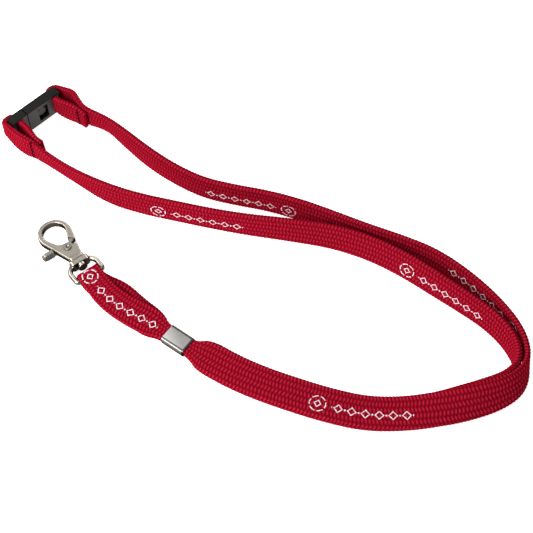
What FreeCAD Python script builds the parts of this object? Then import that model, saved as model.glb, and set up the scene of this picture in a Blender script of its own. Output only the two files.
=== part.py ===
"""Neck lanyard: tubular braided strap, breakaway buckle, crimp sleeve and swivel trigger hook.

Millimetres, +Z up. The lanyard lies on a flat surface at Z = 0, with the loop's long way along X.
The origin is on that surface, under the centre of the whole object's box.
"""
import FreeCAD, Part
import math
import os

from FreeCAD import Placement, Rotation, Vector

# ---------------------------------------------------------------- driving dimensions
STRAP_WIDTH = 15.0
STRAP_THICK = 2.4
ARC_STEP = math.radians(10)      # largest turn between two stations on an arc
ARC_SHARE = 0.45                 # tangent length as a share of the shorter run

BUCKLE_CENTRE = (-107.55, 78.00)
BUCKLE_ANGLE = 45.0
BUCKLE_LENGTH = 28.8
BUCKLE_HEIGHT = 12.8             # stands on its long edge, so this is along Z
BUCKLE_THICK = 5.3
BUCKLE_JOINT = -5.6              # where plug and socket meet, along the buckle
JOINT_GAP = 0.15
RAIL = 1.2                       # wall above and below each strap slot
BAR_THICK = 3.8                  # strap bars are thinner than the case
PLUG_SLOT = (-11.8, -8.4)
SOCKET_SLOT = (9.6, 12.6)
WINDOW = (0.6, 6.4)
WINDOW_Z = (2.2, 10.6)
CAVITY_END = 7.8
CAVITY_THICK = 2.9
CAVITY_Z = (1.5, 11.3)
TONGUE_CLEAR = 0.15

CRIMP_CENTRE = (-32.0, -47.8)
CRIMP_ANGLE = 144.0
CRIMP_LENGTH = 12.0
CRIMP_WIDTH = 9.0
CRIMP_HEIGHT = 4.7
CRIMP_WALL = 0.5
CRIMP_CORNER = 1.1
CRIMP_SEAM = 0.3

EYE_CENTRE = (-73.38, -14.45, 3.3)  # middle of the eye's strap bar
HOOK_ANGLE = 126.9
HOOK_TILT = 2.42                 # the hook's tip hangs a little, until it rests
EYE_WIRE_R = 0.95
EYE_HALF_WIDTH = 6.9
EYE_LENGTH = 9.0
EYE_BAR_CORNER = 1.3
EYE_TOP_CORNER = 4.2
YOKE_X = (7.8, 10.2)
YOKE_HALF = (4.6, 2.4)
STEM_R = 1.42
STEM_BORE_R = 1.48
STEM_HEAD_R = 2.4
STEM_X = (5.5, 13.5)
STEM_HEAD_END = 7.6

HOOK_THICK = 3.4
HOOK_EDGE = 0.7                  # rounding on the hook's outer edges
HOOK_INNER_EDGE = 0.5
HOOP_CENTRE = (29.5, 0.9)
HOOP_R = 8.0
MOUTH_CENTRE = (29.9, 0.85)      # the ring of the hook's opening
MOUTH_R = 5.55
MOUTH_LOW = (25.2, 0.6)
MOUTH_LOW_R = 3.5
NECK_X = 12.1
NECK_HALF = 3.2
COLLAR_X = (10.6, 12.2)
COLLAR_HALF = (3.7, 2.3)
RIVET = (18.7, 0.25)
RIVET_R = 1.0
RIVET_HEAD_R = 1.65
RIVET_HEAD = 0.5
LEVER_BORE_R = 1.06
CHEEK_R = 2.9                    # the cheeks round the rivet, on the gate side
SEAM_R = 5.65                    # the nose ends on this arc round the rivet
LEVER_SLOT = 0.95                # half the slot that the lever swings in
SLOT_X = (13.1, 22.9)
GATE_R = (3.05, 5.5)
GATE_ANGLES = (-61.0, -36.0)
GATE_HALF = 1.5
LEVER_Z = (-0.85, 0.05)
HUB_R = 2.5
TAB_X = (19.7, 21.7)
TAB_Y = (7.1, 12.6)
TAB_Z = (-1.4, 2.5)
TAB_RIBS = 4
SPRING_WIRE_R = 0.2
SPRING_COIL_R = 1.6
SPRING_Z = 0.45
SPRING_TURN = 250.0
SPRING_LEG = 2.0

THREAD = 0.34
STITCHES = 8
STITCH_PITCH = 1.35

# ---------------------------------------------------------------- strap routes
# Each point: x, y, z, roll about the route (0 flat, 90 on edge, 180 flat the other way up), width, thickness.
FRONT_STRAND = [
    (-105.3, 56.0, 6.6, 90, 11.6, 2.4),
    (-97.8, 47.8, 6.8, 90, 10.6, 2.4),
    (-85.3, 38.2, 6.9, 90, 10.4, 2.4),
    (-68.8, 28.5, 7.2, 90, 13.8, 2.4),
    (-52.3, 22.8, 7.5, 90, 15.0, 2.4),
    (-35.3, 18.5, 7.5, 90, 15.0, 2.4),
    (-19.8, 14.5, 7.6, 90, 15.0, 2.4),
    (-2.8, 10.9, 7.6, 88, 15.0, 2.4),
    (17.2, 7.9, 7.7, 83, 15.0, 2.4),
    (38.2, 4.2, 7.7, 78, 15.0, 2.4),
    (55.7, -2.5, 7.6, 76, 15.0, 2.4),
    (70.7, -11.6, 7.6, 75, 15.0, 2.4),
    (83.2, -21.3, 7.6, 76, 15.0, 2.4),
    (95.7, -31.1, 7.6, 80, 15.0, 2.4),
    (106.2, -41.3, 7.6, 82, 15.0, 2.4),
    (113.7, -52.5, 7.6, 84, 15.0, 2.4),
    (115.5, -63.0, 7.7, 96, 15.0, 2.4),
    (110.5, -71.5, 7.6, 113, 15.0, 2.4),
    (102.8, -76.7, 7.2, 127, 15.0, 2.4),
    (92.7, -80.8, 6.05, 142, 15.0, 2.4),
    (80.0, -83.9, 3.8, 163, 15.0, 2.4),
    (64.7, -84.8, 1.9, 177, 15.0, 2.4),
    (49.2, -83.3, 1.3, 180, 15.0, 2.4),
    (33.2, -79.3, 1.3, 180, 15.0, 2.4),
    (17.2, -73.8, 1.3, 180, 15.0, 2.4),
    (2.7, -68.1, 1.3, 180, 15.0, 2.4),
    (-9.3, -62.1, 1.35, 180, 15.0, 2.3),
    (-19.4, -56.4, 1.3, 180, 14.0, 2.1),
    (-25.9, -52.2, 1.4, 180, 7.4, 1.75),
    (-32.0, -47.8, 1.4, 180, 7.3, 1.75),
]
BACK_STRAND = [
    (-80.0, 75.3, 6.6, 90, 11.6, 2.4),
    (-71.6, 70.6, 6.8, 90, 11.2, 2.4),
    (-62.4, 62.4, 7.0, 90, 12.4, 2.4),
    (-49.8, 49.9, 7.4, 90, 14.6, 2.4),
    (-36.3, 39.7, 7.5, 90, 15.0, 2.4),
    (-22.3, 31.8, 7.5, 90, 15.0, 2.4),
    (-7.3, 27.7, 7.5, 90, 15.0, 2.4),
    (8.2, 24.3, 7.6, 90, 15.0, 2.4),
    (23.7, 19.0, 7.6, 88, 15.0, 2.4),
    (38.2, 12.3, 7.7, 86, 15.0, 2.4),
    (54.2, 4.7, 7.7, 84, 15.0, 2.4),
    (69.2, -1.5, 7.7, 82, 15.0, 2.4),
    (83.7, -8.8, 7.7, 80, 15.0, 2.4),
    (97.7, -20.8, 7.7, 80, 15.0, 2.4),
    (109.7, -34.5, 7.7, 82, 15.0, 2.4),
    (118.2, -48.5, 7.7, 86, 15.0, 2.4),
    (121.0, -62.0, 8.1, 98, 15.0, 2.4),
    (115.7, -72.5, 8.7, 115, 15.0, 2.4),
    (105.7, -79.0, 8.7, 128, 15.0, 2.4),
    (93.7, -82.8, 8.1, 142, 15.0, 2.4),
    (80.2, -84.9, 6.3, 163, 15.0, 2.4),
    (64.7, -85.1, 4.5, 177, 15.0, 2.4),
    (49.2, -83.2, 4.0, 180, 15.0, 2.4),
    (33.2, -79.2, 4.0, 180, 15.0, 2.4),
    (17.2, -73.7, 4.0, 180, 15.0, 2.4),
    (2.7, -68.0, 4.0, 180, 15.0, 2.4),
    (-9.3, -62.0, 4.0, 180, 15.0, 2.3),
    (-19.4, -56.4, 3.75, 180, 14.0, 2.1),
    (-25.9, -52.2, 3.2, 180, 7.4, 1.75),
    (-32.0, -47.8, 3.2, 180, 7.3, 1.75),
]
HOOK_LOOP = [
    (-32.0, -47.8, 3.2, 0, 7.3, 1.75),
    (-38.1, -43.4, 3.2, 0, 7.4, 1.75),
    (-45.1, -38.3, 4.6, 0, 13.2, 2.2),
    (-54.1, -31.8, 5.9, 0, 14.6, 2.4),
    (-62.8, -25.1, 6.2, 0, 14.0, 2.4),
    (-69.5, -19.5, 5.7, 0, 12.2, 2.3),
    (-74.8, -12.6, 5.5, 0, 11.2, 2.2),
    (-74.8, -12.6, 1.1, 180, 11.2, 2.2),
    (-69.5, -19.5, 1.2, 180, 12.2, 2.2),
    (-62.2, -24.5, 1.3, 180, 14.0, 2.4),
    (-53.1, -30.4, 1.3, 180, 14.6, 2.4),
    (-44.8, -37.9, 1.3, 180, 13.0, 2.2),
    (-38.1, -43.4, 1.4, 180, 7.4, 1.75),
    (-32.0, -47.8, 1.4, 180, 7.3, 1.75),
]
# The sewn end loops, in the buckle's own frame: along it, across it, z, width, thickness.
PLUG_LOOP = [
    (-14.0, -16.7, 6.6, 11.6, 2.4),
    (-13.9, -13.6, 6.5, 11.0, 2.4),
    (-15.6, -9.0, 6.6, 12.2, 2.4),
    (-16.5, -3.5, 6.5, 11.6, 2.4),
    (-16.4, 1.0, 6.4, 10.2, 2.5),
    (-16.1, 4.0, 6.4, 10.0, 2.6),
    (-10.1, 4.0, 6.4, 10.0, 2.8),
    (-10.0, -0.8, 6.4, 10.0, 2.8),
    (-10.2, -5.8, 6.4, 10.8, 2.6),
    (-11.1, -10.2, 6.5, 11.4, 2.4),
    (-11.4, -13.6, 6.5, 11.0, 2.4),
    (-11.2, -16.2, 6.5, 11.2, 2.4),
]
SOCKET_LOOP = [
    (17.6, -21.4, 6.6, 11.6, 2.4),
    (16.6, -17.8, 6.5, 11.0, 2.4),
    (17.8, -13.0, 6.6, 12.0, 2.4),
    (18.4, -6.8, 6.5, 11.4, 2.4),
    (17.4, -0.8, 6.4, 10.2, 2.5),
    (16.2, 3.9, 6.4, 10.0, 2.5),
    (11.1, 3.9, 6.4, 10.0, 2.5),
    (11.0, -1.0, 6.4, 10.0, 2.5),
    (11.2, -6.0, 6.4, 10.8, 2.4),
    (12.3, -11.5, 6.5, 11.4, 2.4),
    (13.9, -16.6, 6.5, 11.0, 2.4),
    (14.3, -20.4, 6.5, 11.2, 2.4),
]
PLUG_SEAM = (-13.95, -11.35, -13.7)      # middles of the outer and inner layer, and where across the buckle
SOCKET_SEAM = (16.6, 13.8, -17.2)


# ---------------------------------------------------------------- strap solids
def unit(vector):
    return Vector(vector) / vector.Length


def across_of(points, rolls):
    """The direction of the strap's width at every route point, from its roll about the level heading."""
    found = []
    for i, roll in enumerate(rolls):
        ahead = points[min(i + 1, len(points) - 1)] - points[max(i - 1, 0)]
        if i + 1 < len(points) and (points[i + 1] - points[i]).cross(Vector(0, 0, 1)).Length < 1e-6:
            ahead = points[i] - points[i - 1]
        if i > 0 and (points[i] - points[i - 1]).cross(Vector(0, 0, 1)).Length < 1e-6:
            ahead = points[i + 1] - points[i]
        left = unit(Vector(-ahead.y, ahead.x, 0))
        angle = math.radians(roll)
        found.append(left * math.cos(angle) + Vector(0, 0, 1) * math.sin(angle))
    return found


def stations(points):
    """Points, tangents and route parameters along straight runs joined by tangent arcs."""
    radii = []
    found = [(points[0], unit(points[1] - points[0]), 0.0)]
    for i in range(1, len(points) - 1):
        corner = points[i]
        before, after = corner - points[i - 1], points[i + 1] - corner
        turn = before.getAngle(after)
        reach = ARC_SHARE * min(before.Length, after.Length)
        radius = reach / math.tan(turn / 2)
        radii.append(radius)
        start = corner - unit(before) * reach
        inward = unit(unit(after) - unit(before) * unit(before).dot(unit(after)))
        steps = max(1, math.ceil(turn / ARC_STEP))
        first, last = i - reach / before.Length, i + reach / after.Length
        for k in range(steps + 1):
            angle = turn * k / steps
            place = start + unit(before) * (radius * math.sin(angle)) + inward * (radius * (1 - math.cos(angle)))
            tangent = unit(before) * math.cos(angle) + inward * math.sin(angle)
            found.append((place, tangent, first + (last - first) * k / steps))
    found.append((points[-1], unit(points[-1] - points[-2]), len(points) - 1.0))
    return found, radii


def between(values, parameter):
    i = min(int(parameter), len(values) - 2)
    share = parameter - i
    return values[i] * (1 - share) + values[i + 1] * share


def strap_solid(name, points, across, widths, thicks):
    """A closed flat-strap solid along a route, and a line that says its radii and volume."""
    path, radii = stations(points)
    corners, length, section = [], 0.0, 0.0
    for i, (place, tangent, parameter) in enumerate(path):
        side = between(across, parameter)
        side = unit(side - tangent * side.dot(tangent))
        face = unit(tangent.cross(side))
        wide, thick = between(widths, parameter) / 2, between(thicks, parameter) / 2
        for a, b in ((1, 1), (1, -1), (-1, -1), (-1, 1)):
            corners.append(place + side * (wide * a) + face * (thick * b))
        if i:
            step = (place - path[i - 1][0]).Length
            length += step
            section += step * (4 * wide * thick + previous) / 2
        previous = 4 * wide * thick
    facets = [(0, 1, 2), (0, 2, 3)]
    for ring in range(len(path) - 1):
        for k in range(4):
            a, b = 4 * ring + k, 4 * ring + (k + 1) % 4
            facets += [(a, a + 4, b), (b, a + 4, b + 4)]
    last = 4 * (len(path) - 1)
    facets += [(last, last + 2, last + 1), (last, last + 3, last + 2)]
    shape = Part.Shape()
    shape.makeShapeFromMesh(([tuple(c) for c in corners], facets), 1e-4)
    solid = Part.makeSolid(shape)
    if solid.Volume < 0:
        solid.reverse()
    print("%s: length %.1f, volume %.0f against %.0f, radii %s" % (
        name, length, solid.Volume, section, " ".join("%.0f" % r for r in radii)))
    return solid


def level_strap(name, route):
    points = [Vector(*row[:3]) for row in route]
    across = across_of(points, [row[3] for row in route])
    return strap_solid(name, points, across, [row[4] for row in route], [row[5] for row in route])


def end_loop(name, route):
    points = [buckle_place().multVec(Vector(*row[:3])) for row in route]
    across = [Vector(0, 0, 1)] * len(points)
    return strap_solid(name, points, across, [row[3] for row in route], [row[4] for row in route])


# ---------------------------------------------------------------- helpers for the hardware
def buckle_place():
    return Placement(Vector(*BUCKLE_CENTRE, 0), Rotation(Vector(0, 0, 1), BUCKLE_ANGLE))


def hook_place():
    turn = Rotation(Vector(0, 0, 1), HOOK_ANGLE) * Rotation(Vector(0, 1, 0), HOOK_TILT)
    return Placement(Vector(*EYE_CENTRE), turn)


def crimp_place():
    return Placement(Vector(*CRIMP_CENTRE, 0), Rotation(Vector(0, 0, 1), CRIMP_ANGLE))


def placed(shape, placement):
    copy = shape.copy()
    copy.Placement = placement * copy.Placement
    return copy


def block(x, y, z):
    return Part.makeBox(x[1] - x[0], y[1] - y[0], z[1] - z[0], Vector(x[0], y[0], z[0]))


def edges_along(shape, axis, keep=lambda middle: True):
    """Straight edges parallel to an axis whose middle passes a test."""
    found = []
    for edge in shape.Edges:
        if edge.Curve.TypeId == "Part::GeomLine" and unit(edge.tangentAt(edge.FirstParameter)).cross(axis).Length < 1e-6:
            if keep(edge.CenterOfMass):
                found.append(edge)
    return found


def rounded_block(x, y, z, axis, radius):
    shape = block(x, y, z)
    return shape.makeFillet(radius, edges_along(shape, axis))


def arc(centre, radius, first, last):
    """An arc in the XY plane from one angle to another, in degrees, the short way that the numbers run."""
    middle = (first + last) / 2
    spots = [Vector(centre[0] + radius * math.cos(math.radians(a)),
                    centre[1] + radius * math.sin(math.radians(a)), 0) for a in (first, middle, last)]
    return Part.Arc(*spots).toShape()


def line(start, end):
    return Part.LineSegment(start, end).toShape()


def ends(edge):
    return edge.valueAt(edge.FirstParameter), edge.valueAt(edge.LastParameter)


def plate(edges, low, high):
    wire = Part.Wire(Part.__sortEdges__(edges))
    return Part.Face(wire).translated(Vector(0, 0, low)).extrude(Vector(0, 0, high - low))


def tangent_angle(point, centre, radius, side):
    """Where a line from a point touches a circle, as an angle round the circle in degrees."""
    dx, dy = point[0] - centre[0], point[1] - centre[1]
    lean = math.acos(radius / math.hypot(dx, dy))
    return math.degrees(math.atan2(dy, dx) + side * lean)


# ---------------------------------------------------------------- buckle
def strap_bar(x):
    """The post that a strap end is looped round, thinner than the case and rounded."""
    bar = block(x, (-BAR_THICK / 2, BAR_THICK / 2), (RAIL / 2, BUCKLE_HEIGHT - RAIL / 2))
    return bar.makeFillet(0.8, edges_along(bar, Vector(0, 0, 1)))


def case_block(x):
    half = BUCKLE_THICK / 2
    case = block(x, (-half, half), (0, BUCKLE_HEIGHT))
    return case.makeFillet(0.45, edges_along(case, Vector(1, 0, 0)))


def strap_slot(case, slot, end):
    """Open the case for the strap, and narrow the part beyond the slot to a bar."""
    half = BUCKLE_THICK / 2
    low, high = min(slot[0], end), max(slot[1], end)
    case = case.cut(block((low, high), (-half, half), (RAIL, BUCKLE_HEIGHT - RAIL)))
    bar = (end, slot[0]) if end < slot[0] else (slot[1], end)
    return case.fuse(strap_bar(bar)).removeSplitter()


def buckle_socket():
    """The half with the latch window."""
    half = BUCKLE_THICK / 2
    case = case_block((BUCKLE_JOINT, BUCKLE_LENGTH / 2))
    case = case.cut(block((BUCKLE_JOINT, CAVITY_END), (-CAVITY_THICK / 2, CAVITY_THICK / 2), CAVITY_Z))
    case = case.cut(rounded_block(WINDOW, (-half, 0), WINDOW_Z, Vector(0, 1, 0), 0.5))
    return strap_slot(case, SOCKET_SLOT, BUCKLE_LENGTH / 2)


def buckle_plug():
    """The half with the tongue: a wide root that guides it, and a narrow latch finger with a rounded tip."""
    case = case_block((-BUCKLE_LENGTH / 2, BUCKLE_JOINT - JOINT_GAP))
    case = strap_slot(case, PLUG_SLOT, -BUCKLE_LENGTH / 2)
    half = CAVITY_THICK / 2 - TONGUE_CLEAR
    low, high = CAVITY_Z[0] + TONGUE_CLEAR, CAVITY_Z[1] - TONGUE_CLEAR
    middle = (low + high) / 2
    root = block((BUCKLE_JOINT - 1.0, WINDOW[0] - 0.6), (-half, half), (low, high))
    finger_half = 2.3
    finger = block((WINDOW[0] - 1.0, 3.4), (-half + 0.4, half - 0.4), (middle - finger_half, middle + finger_half))
    tip = Part.makeCylinder(finger_half, 2 * half - 0.2, Vector(3.4, half - 0.2, middle), Vector(0, -1, 0))
    return case.fuse([root, finger, tip]).removeSplitter()


def seam_thread(seam):
    """A running stitch across the strap, through both layers of a sewn end."""
    outer, inner, row = seam
    sign = 1 if outer > inner else -1
    faces = (outer + sign * (STRAP_THICK / 2 + 0.05), inner - sign * (STRAP_THICK / 2 + 0.05))
    half = THREAD / 2
    first = (BUCKLE_HEIGHT - (STITCHES - 1) * STITCH_PITCH) / 2
    low, high = min(faces) - half, max(faces) + half
    pieces = []
    for k in range(STITCHES):
        z = first + k * STITCH_PITCH
        pieces.append(block((low, high), (row - half, row + half), (z - half, z + half)))
        if k + 1 < STITCHES:
            face = faces[k % 2]
            pieces.append(block((face - half, face + half), (row - half, row + half), (z, z + STITCH_PITCH)))
    return pieces[0].fuse(pieces[1:]).removeSplitter()


# ---------------------------------------------------------------- crimp sleeve
def crimp_sleeve():
    """A metal strip bent round the strap and pressed flat, with its seam underneath."""
    x = (-CRIMP_LENGTH / 2, CRIMP_LENGTH / 2)
    half, wall = CRIMP_WIDTH / 2, CRIMP_WALL
    along = Vector(1, 0, 0)
    outer = rounded_block(x, (-half, half), (0, CRIMP_HEIGHT), along, CRIMP_CORNER)
    inner = rounded_block(x, (wall - half, half - wall), (wall, CRIMP_HEIGHT - wall), along, CRIMP_CORNER - wall)
    seam = block(x, (-CRIMP_SEAM / 2, CRIMP_SEAM / 2), (0, wall))
    return outer.cut(inner).cut(seam)


# ---------------------------------------------------------------- swivel eye and stem
def swivel_eye():
    """The D-shaped eye: a wire ring with the strap bar on one side and a pierced yoke on the other."""
    w, top = EYE_HALF_WIDTH, EYE_LENGTH
    r, big = EYE_BAR_CORNER, EYE_TOP_CORNER
    corners = [arc((r, w - r), r, 180, 90), arc((top - big, w - big), big, 90, 0),
               arc((top - big, big - w), big, 0, -90), arc((r, r - w), r, -90, -180)]
    edges = []
    for i, corner in enumerate(corners):
        edges.append(corner)
        edges.append(line(ends(corner)[1], ends(corners[(i + 1) % 4])[0]))
    path = Part.Wire(Part.__sortEdges__(edges))
    start = ends(edges[-1])[0]
    profile = Part.Wire(Part.makeCircle(EYE_WIRE_R, start, Vector(0, 1, 0)))
    ring = path.makePipeShell([profile], True, False)
    yoke = block(YOKE_X, (-YOKE_HALF[0], YOKE_HALF[0]), (-YOKE_HALF[1], YOKE_HALF[1]))
    yoke = yoke.makeFillet(1.6, edges_along(yoke, Vector(1, 0, 0)))
    bore = Part.makeCylinder(STEM_BORE_R, 8, Vector(4, 0, 0), Vector(1, 0, 0))
    return ring.fuse(yoke).cut(bore).removeSplitter()


def swivel_stem():
    """The headed pin that joins the hook to the eye and lets it turn."""
    pin = Part.makeCylinder(STEM_R, STEM_X[1] - STEM_X[0], Vector(STEM_X[0], 0, 0), Vector(1, 0, 0))
    head = Part.makeCylinder(STEM_HEAD_R, STEM_HEAD_END - STEM_X[0], Vector(STEM_X[0], 0, 0), Vector(1, 0, 0))
    head = head.makeFillet(0.9, [e for e in head.Edges if e.CenterOfMass.x < STEM_X[0] + 0.01 and len(e.Vertexes) == 1])
    return pin.fuse(head).removeSplitter()


# ---------------------------------------------------------------- hook
def hook_outline():
    """The hook's outer edge: two straight sides from the neck, tangent to the hoop."""
    left, right = (NECK_X, NECK_HALF), (NECK_X, -NECK_HALF)
    up = tangent_angle(left, HOOP_CENTRE, HOOP_R, -1)
    down = tangent_angle(right, HOOP_CENTRE, HOOP_R, 1)
    hoop = arc(HOOP_CENTRE, HOOP_R, up, down)
    a, b = ends(hoop)
    p, q = Vector(*left, 0), Vector(*right, 0)
    return [line(p, a), hoop, line(b, q), line(q, p)]


def mouth_outline():
    """The pear-shaped opening: two circles and their common tangents."""
    c, low = Vector(*MOUTH_CENTRE, 0), Vector(*MOUTH_LOW, 0)
    span = low - c
    heading = math.degrees(math.atan2(span.y, span.x))
    lean = math.degrees(math.acos((MOUTH_R - MOUTH_LOW_R) / span.Length))
    big = arc(MOUTH_CENTRE, MOUTH_R, heading + lean, heading + 360 - lean)
    small = arc(MOUTH_LOW, MOUTH_LOW_R, heading - lean, heading + lean)
    return [big, small, line(ends(big)[0], ends(small)[1]), line(ends(big)[1], ends(small)[0])]


def flat_edges(shape, height, keep):
    """Edges that lie at one height and pass a test on their middle."""
    return [e for e in shape.Edges
            if abs(e.BoundBox.ZMin - height) < 1e-4 and abs(e.BoundBox.ZMax - height) < 1e-4 and keep(e)]


def sector(radii, angles, half):
    """A piece of a ring round the rivet."""
    inner = arc(RIVET, radii[0], *angles)
    outer = arc(RIVET, radii[1], *angles)
    sides = [line(ends(inner)[k], ends(outer)[k]) for k in (0, 1)]
    return plate([inner, outer] + sides, -half, half)


def hook_body():
    """The cast hook: hoop, slotted cheeks for the lever, and a collar at the neck."""
    half = HOOK_THICK / 2
    solid = plate(hook_outline(), -half, half)
    outer = [e for z in (-half, half) for e in flat_edges(solid, z, lambda e: e.CenterOfMass.x > NECK_X + 0.1)]
    solid = solid.makeFillet(HOOK_EDGE, outer)
    mouth = plate(mouth_outline(), -half, half)
    solid = solid.cut(mouth)
    ring = [e for z in (-half, half) for e in flat_edges(
        solid, z, lambda e: abs(e.CenterOfMass.y - MOUTH_CENTRE[1]) < 5.4 and e.CenterOfMass.x > 22.0
        and math.hypot(e.CenterOfMass.x - MOUTH_CENTRE[0], e.CenterOfMass.y - MOUTH_CENTRE[1]) < 6.6)]
    solid = solid.makeFillet(HOOK_INNER_EDGE, ring)
    gap = sector((CHEEK_R, SEAM_R), (-90.0, 5.0), half)
    notch = sector((CHEEK_R, SEAM_R + 0.8), (-90.0, -63.0), half)
    solid = solid.cut(gap).cut(notch)
    solid = solid.cut(block(SLOT_X, (-12, 12), (-LEVER_SLOT, LEVER_SLOT)))
    solid = solid.cut(Part.makeCylinder(RIVET_R, 2 * HOOK_THICK, Vector(*RIVET, -HOOK_THICK)))
    collar = rounded_block(COLLAR_X, (-COLLAR_HALF[0], COLLAR_HALF[0]), (-COLLAR_HALF[1], COLLAR_HALF[1]),
                           Vector(1, 0, 0), 1.4)
    solid = solid.fuse(collar)
    bore = Part.makeCylinder(STEM_R, 4.0, Vector(COLLAR_X[0] - 0.5, 0, 0), Vector(1, 0, 0))
    return solid.cut(bore).removeSplitter()


def gate_lever():
    """The sprung lever: hub, gate finger that meets the nose, arm and ribbed thumb tab."""
    low, high = LEVER_Z
    hub = Part.makeCylinder(HUB_R, high - low, Vector(*RIVET, low))
    gate = sector(GATE_R, GATE_ANGLES, GATE_HALF)
    web = sector((1.5, GATE_R[0] + 0.4), GATE_ANGLES, 0.5)
    web.translate(Vector(0, 0, (low + high) / 2))
    web = web.common(block((0, 60), (-20, 20), (low, high)))
    arm = block(TAB_X, (RIVET[1], TAB_Y[0] + 0.5), (low, high))
    tab = block(TAB_X, TAB_Y, TAB_Z)
    tab = tab.makeFillet(1.6, edges_along(tab, Vector(1, 0, 0), lambda c: c.y > TAB_Y[1] - 0.1))
    lever = hub.fuse([gate, web, arm, tab])
    pitch = (TAB_Y[1] - TAB_Y[0] - 1.6) / TAB_RIBS
    for k in range(TAB_RIBS):
        y = TAB_Y[0] + 1.2 + k * pitch
        lever = lever.cut(Part.makeCylinder(0.28, TAB_Z[1] - TAB_Z[0], Vector(TAB_X[0] - 0.05, y, TAB_Z[0])))
    return lever.cut(Part.makeCylinder(LEVER_BORE_R, 4, Vector(*RIVET, -2))).removeSplitter()


def lever_rivet():
    """The eyelet rivet through both cheeks."""
    half = HOOK_THICK / 2
    shaft = Part.makeCylinder(RIVET_R, HOOK_THICK, Vector(*RIVET, -half))
    heads = []
    for sign in (1, -1):
        head = Part.makeCylinder(RIVET_HEAD_R, RIVET_HEAD, Vector(*RIVET, sign * half), Vector(0, 0, sign))
        rim = [e for e in head.Edges if abs(e.CenterOfMass.z - sign * (half + RIVET_HEAD)) < 1e-6]
        head = head.makeFillet(0.3, rim)
        dimple = Part.makeCone(0.35, 0.9, 0.4, Vector(*RIVET, sign * (half + RIVET_HEAD - 0.4)), Vector(0, 0, sign))
        heads.append(head.cut(dimple))
    return shaft.fuse(heads).removeSplitter()


def lever_spring():
    """A small torsion spring round the rivet: one open turn with a leg towards the neck and one towards the arm."""
    centre = Vector(*RIVET, SPRING_Z)
    turn = Part.makeTorus(SPRING_COIL_R, SPRING_WIRE_R, centre, Vector(0, 0, 1), -180, 180, SPRING_TURN)
    legs = []
    for angle, heading in ((0, Vector(-0.25, -1, 0)), (SPRING_TURN, Vector(0.6, 1, 0))):
        spot = Vector(math.cos(math.radians(angle)), math.sin(math.radians(angle)), 0) * SPRING_COIL_R
        legs.append(Part.makeCylinder(SPRING_WIRE_R * 0.9, SPRING_LEG, centre + spot, heading))
    return turn.fuse(legs).removeSplitter()


# ---------------------------------------------------------------- export
def main():
    os.makedirs("parts", exist_ok=True)
    buckle, hook, crimp = buckle_place(), hook_place(), crimp_place()
    shapes = {
        "neck_strap_front": level_strap("neck_strap_front", FRONT_STRAND),
        "neck_strap_back": level_strap("neck_strap_back", BACK_STRAND),
        "hook_loop_strap": level_strap("hook_loop_strap", HOOK_LOOP),
        "plug_end_loop": end_loop("plug_end_loop", PLUG_LOOP),
        "socket_end_loop": end_loop("socket_end_loop", SOCKET_LOOP),
        "plug_seam_thread": placed(seam_thread(PLUG_SEAM), buckle),
        "socket_seam_thread": placed(seam_thread(SOCKET_SEAM), buckle),
        "buckle_socket": placed(buckle_socket(), buckle),
        "buckle_plug": placed(buckle_plug(), buckle),
        "crimp_sleeve": placed(crimp_sleeve(), crimp),
        "swivel_eye": placed(swivel_eye(), hook),
        "swivel_stem": placed(swivel_stem(), hook),
        "hook_body": placed(hook_body(), hook),
        "gate_lever": placed(gate_lever(), hook),
        "lever_rivet": placed(lever_rivet(), hook),
        "lever_spring": placed(lever_spring(), hook),
    }
    whole = FreeCAD.BoundBox()
    for name, shape in shapes.items():
        whole.add(shape.BoundBox)
        print("%-18s valid %s solids %d volume %.1f" % (name, shape.isValid(), len(shape.Solids), shape.Volume))
        shape.exportStep("parts/%s.step" % name)
    print("box %.3f %.3f %.3f to %.3f %.3f %.3f" % (
        whole.XMin, whole.YMin, whole.ZMin, whole.XMax, whole.YMax, whole.ZMax))
    print("centre %.3f %.3f" % (whole.Center.x, whole.Center.y))
    for label, spot in (("rivet", Vector(*RIVET, 0)), ("mouth", Vector(*MOUTH_CENTRE, 0)), ("stem", Vector(10, 0, 0))):
        print(label, tuple(round(v, 3) for v in hook.multVec(spot)))
    for label, axis in (("hook axis", Vector(1, 0, 0)), ("bar axis", Vector(0, 1, 0)), ("rivet axis", Vector(0, 0, 1))):
        print(label, tuple(round(v, 6) for v in hook.Rotation.multVec(axis)))


main()
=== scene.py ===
import math

import bpy
import numpy as np
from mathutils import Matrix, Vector
from mathutils.bvhtree import BVHTree


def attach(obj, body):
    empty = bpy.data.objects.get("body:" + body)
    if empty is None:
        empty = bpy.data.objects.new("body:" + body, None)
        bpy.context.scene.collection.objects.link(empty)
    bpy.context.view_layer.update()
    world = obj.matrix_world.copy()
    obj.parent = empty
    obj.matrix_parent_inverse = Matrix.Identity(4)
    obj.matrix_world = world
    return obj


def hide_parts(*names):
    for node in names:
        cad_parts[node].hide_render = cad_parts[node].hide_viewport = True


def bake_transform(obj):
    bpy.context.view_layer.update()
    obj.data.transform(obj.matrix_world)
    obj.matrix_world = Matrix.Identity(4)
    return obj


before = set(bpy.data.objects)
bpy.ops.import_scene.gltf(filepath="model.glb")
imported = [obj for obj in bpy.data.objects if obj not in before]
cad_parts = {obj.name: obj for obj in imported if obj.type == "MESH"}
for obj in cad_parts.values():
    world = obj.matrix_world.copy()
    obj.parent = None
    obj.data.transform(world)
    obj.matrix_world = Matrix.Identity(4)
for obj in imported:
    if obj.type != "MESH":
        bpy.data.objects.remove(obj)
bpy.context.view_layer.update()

# ---------------------------------------------------------------- camera and stage
TARGET = Vector((0.0072, -0.0075, 0.0))
DISTANCE = 0.555
ELEVATION = math.radians(58)
LENS = 81.05
SENSOR = 36.0
CLIP_START = 0.01
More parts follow.
